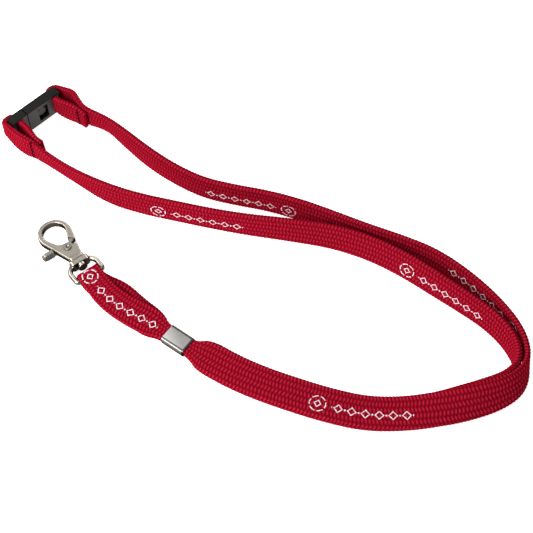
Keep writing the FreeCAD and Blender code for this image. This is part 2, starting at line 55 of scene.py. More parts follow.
# Each light: name, place, size, power in watts.
LIGHTS = [
    ("key", (-0.42, -0.08, 0.78), (0.5, 0.5), 1.9),
    ("fill", (0.9, -0.6, 0.7), (0.6, 0.6), 0.3),
    ("left", (-0.30, -0.25, 0.30), (0.2, 0.2), 2.25),
    ("buckle_side", (-0.35, 0.12, 0.25), (0.2, 0.2), 0.5),
    ("back", (0.1, 1.1, 0.55), (0.9, 0.35), 4),
]
# Each stop of the sky: how far up it is, from 0 at the horizon to 1 overhead, and its brightness.
SKY = [(0.0, 0.10), (0.35, 0.06), (0.62, 0.16), (0.78, 0.50), (0.88, 0.72), (1.0, 0.95)]
FLOOR_HALF = 3.0
FLOOR_DROP = 0.0002
FLOOR_WHITE = (0.93, 0.93, 0.93, 1)
FLOOR_GLOW = 0.75


def look_from(location, target):
    return (Vector(target) - Vector(location)).to_track_quat("-Z", "Y").to_euler()


def add_object(name, data):
    piece = bpy.data.objects.new(name, data)
    bpy.context.collection.objects.link(piece)
    return piece


def add_camera():
    data = bpy.data.cameras.new("camera")
    data.lens = LENS
    data.sensor_width = SENSOR
    data.clip_start = CLIP_START
    camera = add_object("camera", data)
    back = Vector((0, -math.cos(ELEVATION), math.sin(ELEVATION)))
    camera.location = TARGET + back * DISTANCE
    camera.rotation_euler = look_from(camera.location, TARGET)
    bpy.context.scene.camera = camera


def add_light(name, location, size, power):
    data = bpy.data.lights.new(name, "AREA")
    data.shape = "RECTANGLE"
    data.size, data.size_y = size
    data.energy = power
    light = add_object(name, data)
    light.location = location
    light.rotation_euler = look_from(location, (0, 0, 0))


def add_sky():
    """A studio sky: dark near the horizon, and bright overhead like a large softbox."""
    world = bpy.data.worlds.new("world")
    bpy.context.scene.world = world
    world.use_nodes = True
    tree = world.node_tree
    direction = tree.nodes.new("ShaderNodeTexCoord")
    parts = tree.nodes.new("ShaderNodeSeparateXYZ")
    ramp = tree.nodes.new("ShaderNodeValToRGB")
    while len(ramp.color_ramp.elements) < len(SKY):
        ramp.color_ramp.elements.new(0.5)
    for element, (height, level) in zip(ramp.color_ramp.elements, SKY):
        element.position = height
        element.color = (level, level, level, 1)
    tree.links.new(direction.outputs["Generated"], parts.inputs[0])
    tree.links.new(parts.outputs[2], ramp.inputs[0])
    tree.links.new(ramp.outputs[0], tree.nodes["Background"].inputs["Color"])


def add_stage():
    """A white floor that glows a little, so that shadows on it stay faint."""
    half = FLOOR_HALF
    mesh = bpy.data.meshes.new("floor")
    corners = [(-half, -half, 0), (half, -half, 0), (half, half, 0), (-half, half, 0)]
    mesh.from_pydata(corners, [], [(0, 1, 2, 3)])
    floor = add_object("floor", mesh)
    floor.location.z = -FLOOR_DROP
    material = bpy.data.materials.new("floor_white")
    material.use_nodes = True
    shader = material.node_tree.nodes["Principled BSDF"]
    shader.inputs["Base Color"].default_value = FLOOR_WHITE
    shader.inputs["Roughness"].default_value = 0.9
    shader.inputs["Specular IOR Level"].default_value = 0.1
    shader.inputs["Emission Color"].default_value = (1, 1, 1, 1)
    shader.inputs["Emission Strength"].default_value = FLOOR_GLOW
    mesh.materials.append(material)
    add_sky()
    bpy.context.scene.view_settings.view_transform = "Standard"


# ---------------------------------------------------------------- strap routes
# Each point: x, y, z, roll about the route in degrees, width, thickness. Metres.
FRONT_STRAND = [
    (-0.1032, 0.0532, 0.0071, 90, 0.0110, 0.0026),
    (-0.0970, 0.0484, 0.0070, 90, 0.0080, 0.0029),
    (-0.0850, 0.0396, 0.0072, 90, 0.0090, 0.0030),
    (-0.0688, 0.0291, 0.0074, 90, 0.0146, 0.0030),
    (-0.0523, 0.0228, 0.0075, 90, 0.0148, 0.0030),
    (-0.0353, 0.0185, 0.0075, 90, 0.0148, 0.0030),
    (-0.0198, 0.0145, 0.0076, 90, 0.0148, 0.0030),
    (-0.0028, 0.0109, 0.0076, 88, 0.0148, 0.0030),
    (0.0172, 0.0079, 0.0077, 83, 0.0148, 0.0030),
    (0.0382, 0.0042, 0.0077, 78, 0.0148, 0.0029),
    (0.0557, -0.0025, 0.0076, 76, 0.0148, 0.0028),
    (0.0707, -0.0116, 0.0076, 75, 0.0148, 0.0027),
    (0.0832, -0.0213, 0.0076, 76, 0.0148, 0.0027),
    (0.0957, -0.0311, 0.0076, 80, 0.0148, 0.0027),
    (0.1069, -0.0406, 0.0076, 82, 0.0148, 0.0028),
    (0.1149, -0.0518, 0.0076, 84, 0.0148, 0.0029),
    (0.1168, -0.0627, 0.0077, 96, 0.0148, 0.0028),
    (0.1115, -0.0708, 0.0076, 113, 0.0148, 0.0025),
    (0.1033, -0.0752, 0.0072, 127, 0.0148, 0.0024),
    (0.0930, -0.0788, 0.00605, 142, 0.0148, 0.0023),
    (0.0800, -0.0820, 0.0038, 163, 0.0148, 0.0023),
    (0.0647, -0.0836, 0.0019, 177, 0.0148, 0.0023),
    (0.0492, -0.0833, 0.0013, 180, 0.0150, 0.0023),
    (0.0332, -0.0793, 0.0013, 180, 0.0150, 0.0023),
    (0.0172, -0.0738, 0.0013, 180, 0.0150, 0.0023),
    (0.0027, -0.0681, 0.0013, 180, 0.0150, 0.0023),
    (-0.0093, -0.0621, 0.00135, 180, 0.0150, 0.0022),
    (-0.0206, -0.0548, 0.0013, 180, 0.0152, 0.0020),
    (-0.0259, -0.0522, 0.0014, 180, 0.0074, 0.0016),
    (-0.0320, -0.0478, 0.0014, 180, 0.0073, 0.0016),
]
BACK_STRAND = [
    (-0.0797, 0.0752, 0.0069, 90, 0.0120, 0.0026),
    (-0.0716, 0.0718, 0.0070, 90, 0.0094, 0.0028),
    (-0.0624, 0.0628, 0.0069, 90, 0.0132, 0.0030),
    (-0.0498, 0.0502, 0.0073, 90, 0.0153, 0.0030),
    (-0.0363, 0.0397, 0.0075, 90, 0.0148, 0.0030),
    (-0.0223, 0.0318, 0.0075, 90, 0.0148, 0.0030),
    (-0.0073, 0.0277, 0.0075, 90, 0.0148, 0.0030),
    (0.0082, 0.0243, 0.0076, 90, 0.0148, 0.0030),
    (0.0237, 0.0190, 0.0076, 88, 0.0148, 0.0030),
    (0.0382, 0.0123, 0.0077, 86, 0.0148, 0.0029),
    (0.0542, 0.0047, 0.0077, 84, 0.0148, 0.0028),
    (0.0692, -0.0015, 0.0077, 82, 0.0148, 0.0027),
    (0.0837, -0.0088, 0.0077, 80, 0.0148, 0.0027),
    (0.0977, -0.0208, 0.0077, 80, 0.0148, 0.0027),
    (0.1097, -0.0345, 0.0077, 82, 0.0148, 0.0026),
    (0.1182, -0.0485, 0.0077, 86, 0.0148, 0.0025),
    (0.1210, -0.0620, 0.0081, 98, 0.0148, 0.0024),
    (0.1157, -0.0718, 0.0087, 115, 0.0148, 0.0023),
    (0.1060, -0.0774, 0.0087, 128, 0.0148, 0.0023),
    (0.0940, -0.0808, 0.0081, 142, 0.0148, 0.0023),
    (0.0802, -0.0830, 0.0063, 163, 0.0148, 0.0023),
    (0.0647, -0.0839, 0.0045, 177, 0.0148, 0.0023),
    (0.0492, -0.0832, 0.0040, 180, 0.0150, 0.0023),
    (0.0332, -0.0792, 0.0040, 180, 0.0150, 0.0023),
    (0.0172, -0.0737, 0.0040, 180, 0.0150, 0.0023),
    (0.0027, -0.0680, 0.0040, 180, 0.0150, 0.0023),
    (-0.0093, -0.0620, 0.0040, 180, 0.0150, 0.0022),
    (-0.0206, -0.0548, 0.00375, 180, 0.0152, 0.0020),
    (-0.0259, -0.0522, 0.0032, 180, 0.0074, 0.0016),
    (-0.0320, -0.0478, 0.0032, 180, 0.0073, 0.0016),
]
HOOK_LOOP = [
    (-0.0320, -0.0478, 0.0032, 0, 0.0073, 0.0016),
    (-0.0381, -0.0434, 0.0032, 0, 0.0074, 0.0016),
    (-0.0438, -0.0393, 0.0038, 0, 0.0146, 0.0022),
    (-0.0556, -0.0332, 0.0044, 0, 0.0134, 0.0024),
    (-0.0645, -0.0263, 0.0048, 0, 0.0126, 0.0024),
    (-0.0698, -0.0195, 0.0052, 0, 0.0116, 0.0022),
    (-0.0748, -0.0126, 0.0055, 0, 0.0112, 0.0020),
    (-0.0748, -0.0126, 0.0011, 180, 0.0112, 0.0020),
    (-0.0688, -0.0188, 0.0012, 180, 0.0134, 0.0021),
    (-0.0604, -0.0231, 0.0013, 180, 0.0142, 0.0023),
    (-0.0530, -0.0307, 0.0013, 180, 0.0142, 0.0023),
    (-0.0434, -0.0391, 0.0013, 180, 0.0150, 0.0021),
    (-0.0381, -0.0434, 0.0014, 180, 0.0074, 0.0016),
    (-0.0320, -0.0478, 0.0014, 180, 0.0073, 0.0016),
]
# The sewn end loops, in the buckle's own frame: along it, across it, z, width, thickness.
PLUG_LOOP = [
    (-0.0144, -0.0206, 0.0071, 0.0110, 0.0026),
    (-0.0146, -0.0175, 0.0071, 0.0134, 0.0020),
    (-0.0163, -0.0126, 0.0071, 0.0144, 0.0026),
    (-0.0169, -0.0055, 0.0069, 0.0134, 0.0026),
    (-0.0164, 0.0006, 0.0065, 0.0106, 0.0025),
    (-0.0161, 0.0040, 0.0064, 0.0100, 0.0026),
    (-0.0101, 0.0040, 0.0064, 0.0100, 0.0028),
    (-0.0100, -0.0008, 0.0064, 0.0102, 0.0028),
    (-0.0102, -0.0064, 0.0066, 0.0120, 0.0026),
    (-0.0113, -0.0122, 0.0069, 0.0132, 0.0025),
    (-0.0123, -0.0173, 0.0070, 0.0130, 0.0020),
    (-0.0113, -0.0204, 0.0072, 0.0115, 0.0026),
]
SOCKET_LOOP = [
    (0.0178, -0.0216, 0.0069, 0.0120, 0.0026),
    (0.0170, -0.0182, 0.0069, 0.0122, 0.0020),
    (0.0177, -0.0136, 0.0069, 0.0134, 0.0025),
    (0.0197, -0.0068, 0.0068, 0.0132, 0.0025),
    (0.0180, -0.0008, 0.0064, 0.0104, 0.0025),
    (0.0162, 0.0039, 0.0064, 0.0100, 0.0025),
    (0.0111, 0.0039, 0.0064, 0.0100, 0.0025),
    (0.0110, -0.0010, 0.0064, 0.0102, 0.0025),
    (0.0113, -0.0060, 0.0066, 0.0120, 0.0026),
    (0.0128, -0.0115, 0.0069, 0.0130, 0.0026),
    (0.0146, -0.0178, 0.0071, 0.0120, 0.0020),
    (0.0147, -0.0218, 0.0069, 0.0110, 0.0023),
]
BUCKLE_CENTRE = Vector((-0.10755, 0.0780, 0.0))
BUCKLE_ANGLE = math.radians(45)
STRAP_WIDTH = 0.015
STRAP_THICK = 0.0025

# The braid: bumps along a row, rows across the strap, and how far a bump stands out.
BUMP_PITCH = 0.0016
ROW_PITCH = 0.0027
BUMP_HEIGHT = 0.00026
BUMP_MIDDLE = 0.45               # the braid value that lies on the strap's own surface
BUMP_STAGGER = 0.4               # how far every other row is shifted, in bumps
BUMP_LEAN = 0.6                  # how far a bump leans across its row, in bumps
WANDER = [(0.13, 2.4, 0.006), (0.06, 5.1, 0.0021)]   # size in bumps, step from row to row, length
GAP_DEPTH = 0.1                  # the braid value between two bumps of a row
GAP_POWER = 0.45                 # how square a row is
RIDGE_POWER = 0.7                # how square a bump is
ROWS_ROUND = 2 * round((STRAP_WIDTH + STRAP_THICK) / ROW_PITCH)
END_FADE = 0.0015                # the braid flattens within this reach of an end
END_SHARE = 0.3                  # and this share of it is left there
FULL_THICK = 0.0022              # thinner straps have lower bumps
STATION_STEP = 0.00039
SIDE_STEPS = 96
ROUTE_STEPS = 48
PATH_SKIP = 8                    # the path that strap_mesh returns has every eighth station
SAME_SPOT = 1e-6

# Where the white motif is printed: distance along the strand, which face, which way up, and how far
# off the strap's middle.
PRINT_LENGTH = 0.046
PRINT_MARGIN = 0.004
FRONT_PRINTS = [(0.0645, 1, 1, -0.0010), (0.1855, 1, 1, -0.0010)]
BACK_PRINTS = [(0.0725, 1, -1, -0.0016), (0.1940, 1, -1, 0.0015), (0.3107, -1, -1, -0.0018)]
LOOP_PRINTS = [(0.010, 1, -1, 0.0009)]

# The zigzag stitches: each one's height, half its slant, its thread's radius, and where its points lie:
# how far along the stitch, and how far above the strap.
STITCH_PITCH = 0.0011
STITCH_LEAN = 0.00055
STITCH_R = 0.00032
STITCH_SIDES = 8
STITCH_POINTS = [(-0.08, -0.0003), (0.15, 0.0001), (0.5, 0.00016), (0.85, 0.0001), (1.08, -0.0003)]
STITCH_REACH = 0.03              # the strap is looked for from this far off the buckle's middle
# Each seam: where it is across the buckle, and its lowest and highest z.
PLUG_SEAM = (-0.0177, 0.0014, 0.0136)
SOCKET_SEAM = (-0.0178, 0.0018, 0.0128)

EYE_CENTRE = Vector((-0.07338, -0.01445, 0.0033))
EYE_EXTRA = 0.0003
EYE_CLEAR = 0.0030               # the eye keeps its size this near the stem's axis
EYE_GROW = 0.0015                # and has all its extra wire this much further out
HOOK_ANGLE = math.radians(126.9)


def buckle_point(along, across, z):
    """A point of the buckle's own frame in the shared frame."""
    c, s = math.cos(BUCKLE_ANGLE), math.sin(BUCKLE_ANGLE)
    return BUCKLE_CENTRE + Vector((c * along - s * across, s * along + c * across, z))


def widths_direction(points, rolls):
    """The direction of the strap's width at each route point, from its roll about the level heading."""
    found = []
    for i, roll in enumerate(rolls):
        before = points[i] - points[max(i - 1, 0)]
        after = points[min(i + 1, len(points) - 1)] - points[i]
        level = before + after
        if before.xy.length < SAME_SPOT and i > 0:
            level = after
        if after.xy.length < SAME_SPOT and i + 1 < len(points):
            level = before
        left = Vector((-level.y, level.x, 0)).normalized()
        angle = math.radians(roll)
        found.append(left * math.cos(angle) + Vector((0, 0, 1)) * math.sin(angle))
    return found


def spline_points(rows):
    """Points along the smooth NURBS line that has the given rows as control points."""
    curve = bpy.data.curves.new("route", "CURVE")
    curve.dimensions = "3D"
    curve.resolution_u = ROUTE_STEPS
    spline = curve.splines.new("NURBS")
    spline.points.add(len(rows) - 1)
    for point, row in zip(spline.points, rows):
        point.co = (*row, 1)
    spline.order_u = 3
    spline.use_endpoint_u = True
    carrier = bpy.data.objects.new("route", curve)
    mesh = bpy.data.meshes.new_from_object(carrier)
    found = np.array([v.co for v in mesh.vertices])
    bpy.data.objects.remove(carrier)
    bpy.data.curves.remove(curve)
    bpy.data.meshes.remove(mesh)
    return found


def resample(columns, lengths, step):
    """Even distances along the route, and the columns there."""
    count = max(8, round(lengths[-1] / step))
    marks = np.linspace(0, lengths[-1], count + 1)
    return marks, [np.column_stack([np.interp(marks, lengths, c[:, k]) for k in range(3)]) for c in columns]


def section(width, thick, count):
    """A flat section with round edges: its points along width and face, their normals, and the way round."""
    radius = thick / 2
    flat = width - thick
    around = 2 * flat + 2 * math.pi * radius
    s = np.linspace(0, around, count, endpoint=False) + around / (2 * count)
    half = math.pi * radius
    a, b, na, nb = (np.zeros(count) for _ in range(4))
    on_top = s < flat
    a[on_top], b[on_top], nb[on_top] = flat / 2 - s[on_top], radius, 1
    left = (s >= flat) & (s < flat + half)
    turn = (s[left] - flat) / radius + math.pi / 2
    a[left], b[left] = -flat / 2 + radius * np.cos(turn), radius * np.sin(turn)
    na[left], nb[left] = np.cos(turn), np.sin(turn)
    under = (s >= flat + half) & (s < 2 * flat + half)
    a[under], b[under], nb[under] = -flat / 2 + (s[under] - flat - half), -radius, -1
    right = s >= 2 * flat + half
    turn = (s[right] - 2 * flat - half) / radius - math.pi / 2
    a[right], b[right] = flat / 2 + radius * np.cos(turn), radius * np.sin(turn)
    na[right], nb[right] = np.cos(turn), np.sin(turn)
    return a, b, na, nb, s


def braid(along, across):
    """How far the braid stands out, from near 0 in gaps to 1 on a bump: staggered rows, leaning by turns."""
    row = np.floor(across / ROW_PITCH)
    inside = across / ROW_PITCH - row - 0.5
    odd = np.mod(row, 2)
    wander = sum(size * np.sin(step * row + along / length) for size, step, length in WANDER)
    phase = along / BUMP_PITCH + BUMP_STAGGER * odd + (odd - 0.5) * BUMP_LEAN * inside + wander
    ridge = 0.5 + 0.5 * np.cos(2 * math.pi * phase)
    gap = np.power(np.cos(math.pi * np.clip(inside, -0.5, 0.5)), GAP_POWER)
    return (GAP_DEPTH + (1 - GAP_DEPTH) * np.power(ridge, RIDGE_POWER)) * gap


def print_spots(a, nb, mark, prints):
    """Each point's place on a print: along it, across it, and 1. Points off every print have -1."""
    spots = np.full((len(a), 3), -1.0)
    for begin, sign, flip, aside in prints:
        reach = mark - begin
        if -PRINT_MARGIN < reach < PRINT_LENGTH + PRINT_MARGIN:
            along = (PRINT_LENGTH - reach) if flip < 0 else reach
            found = np.column_stack([np.full(len(a), along), (a - aside) * flip, np.ones(len(a))])
            here = nb * sign > 0.5
            spots[here] = found[here]
    return spots


def tube_faces(rings, count, start=0):
    """Faces between rings of points, with a cap on both ends."""
    faces = []
    for i in range(rings - 1):
        base = start + i * count
        for k in range(count):
            after = (k + 1) % count
            faces.append((base + k, base + after, base + count + after, base + count + k))
    last = start + (rings - 1) * count
    faces.append(tuple(start + k for k in range(count - 1, -1, -1)))
    faces.append(tuple(last + k for k in range(count)))
    return faces


def smooth_mesh(name, vertices, faces):
    mesh = bpy.data.meshes.new(name)
    mesh.from_pydata(vertices, [], faces)
    mesh.polygons.foreach_set("use_smooth", [True] * len(faces))
    return mesh


def add_attribute(mesh, name, kind, field, values):
    attribute = mesh.attributes.new(name, kind, "POINT")
    attribute.data.foreach_set(field, np.concatenate(values).astype(np.float32).ravel())


def strap_mesh(name, rows, across, prints=()):
    """A braided flat tube along a route. Returns the object, its centre line's points and its length."""
    centre = spline_points([r[:3] for r in rows])
    sides = spline_points([tuple(v) for v in across])
    sizes = spline_points([(r[3], r[4], 0) for r in rows])
    lengths = np.concatenate([[0], np.cumsum(np.linalg.norm(np.diff(centre, axis=0), axis=1))])
    marks, (line, side, size) = resample([centre, sides, sizes], lengths, STATION_STEP)
    tangent = np.gradient(line, axis=0)
    tangent /= np.linalg.norm(tangent, axis=1)[:, None]
    side -= tangent * np.sum(side * tangent, axis=1)[:, None]
    side /= np.linalg.norm(side, axis=1)[:, None]
    face = np.cross(tangent, side)
    vertices, braid_values, print_values, grid = [], [], [], []
    for i, mark in enumerate(marks):
        wide, thick = size[i, 0], size[i, 1]
        a, b, na, nb, s = section(wide, thick, SIDE_STEPS)
        around = s / (2 * (wide - thick) + math.pi * thick) * ROWS_ROUND * ROW_PITCH
        value = braid(mark, around)
        fade = min(1.0, mark / END_FADE, (marks[-1] - mark) / END_FADE)
        lift = BUMP_HEIGHT * (value - BUMP_MIDDLE) * (END_SHARE + (1 - END_SHARE) * fade)
        lift = lift * min(1.0, thick / FULL_THICK)
        a = a + na * lift
        b = b + nb * lift
        vertices.append(line[i] + np.outer(a, side[i]) + np.outer(b, face[i]))
        braid_values.append(value)
        print_values.append(print_spots(a, nb, mark, prints))
        grid.append(np.column_stack([np.full(SIDE_STEPS, mark), around, np.zeros(SIDE_STEPS)]))
    mesh = smooth_mesh(name, np.concatenate(vertices).tolist(), tube_faces(len(marks), SIDE_STEPS))
    add_attribute(mesh, "braid", "FLOAT", "value", braid_values)
    add_attribute(mesh, "motif", "FLOAT_VECTOR", "vector", print_values)
    add_attribute(mesh, "strap_uv", "FLOAT_VECTOR", "vector", grid)
    path = [tuple(p) for p in line[::PATH_SKIP]] + [tuple(line[-1])]
    return add_object(name, mesh), path, float(lengths[-1])


def level_strap(name, route, prints):
    """A strap on a route whose rolls are about its level heading."""
    points = [Vector(r[:3]) for r in route]
    across = widths_direction(points, [r[3] for r in route])
    rows = [(*r[:3], r[4], r[5]) for r in route]
    return strap_mesh(name, rows, across, prints)


def sewn_loop(name, route):
    """An end loop that stands on edge, on a route in the buckle's frame."""
    rows = [(*buckle_point(*r[:3]), r[3], r[4]) for r in route]
    return strap_mesh(name, rows, [Vector((0, 0, 1))] * len(rows))[0]


def add_tube(vertices, faces, line, radius, sides):
    """Add a round tube along a line of points, unless most of the line is missing."""
    if len(line) < 3:
        return
    faces += tube_faces(len(line), sides, len(vertices))
    for i, point in enumerate(line):
        ahead = (line[min(i + 1, len(line) - 1)] - line[max(i - 1, 0)]).normalized()
        first = ahead.orthogonal().normalized()
        second = ahead.cross(first)
        for k in range(sides):
            turn = 2 * math.pi * k / sides
            vertices.append(point + (first * math.cos(turn) + second * math.sin(turn)) * radius)


def stitches(name, strap, across, low, high):
    """Zigzag stitches from low to high on a sewn loop, on its face that looks toward the plug."""
    skin = BVHTree.FromPolygons([v.co for v in strap.data.vertices],
                                [p.vertices for p in strap.data.polygons])
    outward = (buckle_point(-1, 0, 0) - BUCKLE_CENTRE).normalized()
    vertices, faces = [], []
    for k in range(round((high - low) / STITCH_PITCH)):
        lean = STITCH_LEAN if k % 2 else -STITCH_LEAN
        first_y, last_y = across - lean, across + lean
        first_z, last_z = low + k * STITCH_PITCH, low + (k + 1) * STITCH_PITCH
        line = []
        for part, lift in STITCH_POINTS:
            y = first_y + part * (last_y - first_y)
            z = first_z + part * (last_z - first_z)
            hit = skin.ray_cast(buckle_point(-STITCH_REACH, y, z), -outward)[0]
            if hit is not None:
                line.append(hit + outward * lift)
        add_tube(vertices, faces, line, STITCH_R, STITCH_SIDES)
    return add_object(name, smooth_mesh(name, vertices, faces))


def thick_eye(material):
    """The eye's own shape with its wire a little thicker, away from the stem."""
    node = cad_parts["swivel_eye"]
    mesh = node.data.copy()
    mesh.name = "eye_wire"
    place = node.matrix_world
    axis = Vector((math.cos(HOOK_ANGLE), math.sin(HOOK_ANGLE), 0))
    moves = []
    for vertex in mesh.vertices:
        away = place @ vertex.co - EYE_CENTRE
        aside = (away - axis * away.dot(axis)).length
        moves.append(vertex.normal * EYE_EXTRA * min(1, max(0, (aside - EYE_CLEAR) / EYE_GROW)))
    for vertex, move in zip(mesh.vertices, moves):
        vertex.co += move
    mesh.materials.clear()
    mesh.materials.append(material)
    piece = add_object("eye_wire", mesh)
    piece.matrix_world = place
    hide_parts("swivel_eye")
    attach(piece, "eye")


def add_straps(material, thread):
    front, front_path, front_length = level_strap("strap_front", FRONT_STRAND, FRONT_PRINTS)
    back, back_path, back_length = level_strap("strap_back", BACK_STRAND, BACK_PRINTS)
    loop = level_strap("strap_hook_loop", HOOK_LOOP, LOOP_PRINTS)[0]
    plug_end = sewn_loop("strap_plug_end", PLUG_LOOP)
    socket_end = sewn_loop("strap_socket_end", SOCKET_LOOP)
    for piece, node in ((front, "neck_strap_front"), (back, "neck_strap_back"), (loop, "hook_loop_strap"),
                        (plug_end, "plug_end_loop"), (socket_end, "socket_end_loop")):
        piece.data.materials.append(material)
        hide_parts(node)
    for piece in (back, loop, socket_end):
        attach(piece, "root")
    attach(plug_end, "plug")
    plug_seam = stitches("plug_seam", plug_end, *PLUG_SEAM)
    socket_seam = stitches("socket_seam", socket_end, *SOCKET_SEAM)
    for piece, node, body in ((plug_seam, "plug_seam_thread", "plug"),
                              (socket_seam, "socket_seam_thread", "root")):
        piece.data.materials.append(thread)
        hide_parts(node)
        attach(piece, body)
    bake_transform(front)


# ---------------------------------------------------------------- materials
# The braid's reds by bump height, from gap to top: painted shade deep in the gaps, lighter painted shade at
# their edges, the strap's own red, and a painted highlight on the bump tops.
GAP_SHADE_RED = (0.055, 0.0, 0.002)
GAP_EDGE_SHADE_RED = (0.155, 0.002, 0.007)
STRAP_RED = (0.30, 0.0055, 0.021)
BUMP_HIGHLIGHT_RED = (0.435, 0.020, 0.049)
WORN_RED = (0.30, 0.004, 0.014)
FIBRE_RED = (0.17, 0.002, 0.008)
PRINT_WHITE = (0.76, 0.70, 0.74)
WEAR_SCALE = 220                 # noise scales are per metre
WEAR_SHARE = 0.3
FIBRE_SCALE = 3000
FIBRE_SHARE = 0.16
FINE_SCALE = 5200
PRINT_COVER = 0.72               # how well the print covers the gaps; it covers the bumps fully

# The printed motif, in millimetres: a ring with its middle on the line, then a row of cells.
RING_MIDDLE = 4.4
RING_R = 3.5
RING_HALF = 0.24
RING_DASHES = 6
DASH_CUT = -0.72
CORE_R = 1.5
LINE_HALF = 0.29
ROW_START = 10.5
ROW_LENGTH = 34.8
CELL = 5.8
DIAMOND_R = 1.8
DOT_R = 0.42

THREAD_DARK = (0.008, 0.001, 0.002)
THREAD_LIGHT = (0.04, 0.002, 0.006)
TWIST_SCALE = 4000

PLASTIC_DARK = (0.007, 0.0075, 0.0065)
PLASTIC_LIGHT = (0.013, 0.012, 0.0105)
GRAIN_SCALE = 2600
PLASTIC_PATCH_SCALE = 160
JOINT_BLACK = (0.001, 0.001, 0.001)
BUCKLE_JOINT = -0.0057           # along the buckle
BUCKLE_JOINT_HALF = 0.00024

# Each plated metal: its two tones on level faces, a darker tone painted on upright faces as their reflection
# of dark surroundings, and its roughness.
CRIMP_TONES = ((0.56, 0.535, 0.515), (0.40, 0.385, 0.37), (0.15, 0.144, 0.138), 0.2, 0.42)
HOOK_TONES = ((0.76, 0.69, 0.59), (0.60, 0.54, 0.46), (0.07, 0.062, 0.05), 0.18, 0.36)
LEVER_TONES = ((0.55, 0.50, 0.44), (0.36, 0.33, 0.29), (0.12, 0.11, 0.10), 0.25, 0.45)
METAL_TINT = (0.25, 0.24, 0.22, 1)
MARK_SCALE = 900
METAL_PATCH_SCALE = 260
SIDE_POWER = 0.4                 # how soon a slope takes the painted dark reflection
# Painted shade in narrow gaps: the base colour darkens where other surfaces are near, within the given
# reach.
CREVICE_SHADE_BLACK = (0.02, 0.018, 0.016)
CREVICE_POWER = 1.9
CREVICE_REACH = 0.006
CRIMP_REACH = 0.003

# Painted shade on the crimp sleeve: thin lines along its long edges and a band across its end.
CRIMP_CENTRE = (-0.0320, -0.0478)
CRIMP_ANGLE = math.radians(144)
CRIMP_GROOVE = 0.0036            # off the sleeve's middle line
CRIMP_GROOVE_HALF = 0.00045
CRIMP_END = -0.0052
GROOVE_SHADE_BLACK = (0.03, 0.03, 0.03)
GROOVE_SHARE = 0.88
# A painted highlight on the sleeve's level faces, growing toward one corner.
HIGHLIGHT_WHITE = (0.95, 0.94, 0.92)
SHINE_ACROSS = 130               # how fast the painted highlight grows, per metre
SHINE_ALONG = 70
SHINE_MIDDLE = 0.15
LEVEL_POWER = 6                  # how soon a slope loses the painted highlight


class Nodes:
    """A material's node tree with short ways to add and link nodes."""

    def __init__(self, name):
        self.material = bpy.data.materials.new(name)
        self.material.use_nodes = True
        self.tree = self.material.node_tree
        self.shader = self.tree.nodes["Principled BSDF"]

    def add(self, kind, **settings):
        node = self.tree.nodes.new("ShaderNode" + kind)
        for key, value in settings.items():
            setattr(node, key, value)
        return node

    def link(self, source, target):
        self.tree.links.new(source, target)

    def surface(self, name, value):
        """Set one of the shader's values, or link it."""
        socket = self.shader.inputs[name]
        if isinstance(value, (int, float, tuple)):
            socket.default_value = value
        else:
            self.link(value, socket)

    def math(self, operation, *values, clamp=False):
        node = self.add("Math", operation=operation, use_clamp=clamp)
        for socket, value in zip(node.inputs, values):
            if isinstance(value, (int, float)):
                socket.default_value = value
            else:
                self.link(value, socket)
        return node.outputs[0]

    def ramp(self, source, *stops):
        node = self.add("ValToRGB")
        elements = node.color_ramp.elements
        while len(elements) < len(stops):
            elements.new(0.5)
        for element, (place, colour) in zip(elements, stops):
            element.position = place
            element.color = (*colour, 1)
        self.link(source, node.inputs[0])
        return node.outputs[0]

    def spread(self, source, low, high):
        """A value from 0 to 1, spread over another range."""
        node = self.add("MapRange")
        node.inputs["To Min"].default_value = low
        node.inputs["To Max"].default_value = high
        self.link(source, node.inputs["Value"])
        return node.outputs[0]

    def noise(self, vector, scale, detail=3.0, roughness=0.5):
        node = self.add("TexNoise")
        node.inputs["Scale"].default_value = scale
        node.inputs["Detail"].default_value = detail
        node.inputs["Roughness"].default_value = roughness
        self.link(vector, node.inputs["Vector"])
        return node.outputs["Fac"]

    def mix(self, factor, first, second):
        node = self.add("Mix", data_type="RGBA", blend_type="MIX")
        for socket, value in ((node.inputs[0], factor), (node.inputs[6], first), (node.inputs[7], second)):
            if isinstance(value, tuple):
                socket.default_value = (*value, 1)
            else:
                self.link(value, socket)
        return node.outputs[2]

    def steepness(self):
        """1 on faces that stand upright in the part's own frame, and 0 on level ones."""
        parts = self.add("SeparateXYZ")
        self.link(self.add("TexCoord").outputs["Normal"], parts.inputs[0])
        return self.math("SUBTRACT", 1, self.math("ABSOLUTE", parts.outputs[2]))

    def slanted(self, coordinates, centre, angle):
        """Distances along and across a level direction, from a centre."""
        parts = self.add("SeparateXYZ")
        self.link(coordinates, parts.inputs[0])
        x = self.math("SUBTRACT", parts.outputs[0], centre[0])
        y = self.math("SUBTRACT", parts.outputs[1], centre[1])
        c, s = math.cos(angle), math.sin(angle)
        along = self.math("ADD", self.math("MULTIPLY", x, c), self.math("MULTIPLY", y, s))
        across = self.math("SUBTRACT", self.math("MULTIPLY", y, c), self.math("MULTIPLY", x, s))
        return along, across

    def near(self, value, middle, half):
        """1 where a value lies within half of the middle."""
        return self.math("LESS_THAN", self.math("ABSOLUTE", self.math("SUBTRACT", value, middle)), half)

    def bump(self, height, strength, distance, normal=None):
        node = self.add("Bump")
        node.inputs["Strength"].default_value = strength
        node.inputs["Distance"].default_value = distance
        self.link(height, node.inputs["Height"])
        if normal is not None:
            self.link(normal, node.inputs["Normal"])
        return node.outputs["Normal"]


def length_of(n, x, y2):
    """The distance from x and a squared y."""
    return n.math("SQRT", n.math("ADD", n.math("MULTIPLY", x, x), y2))


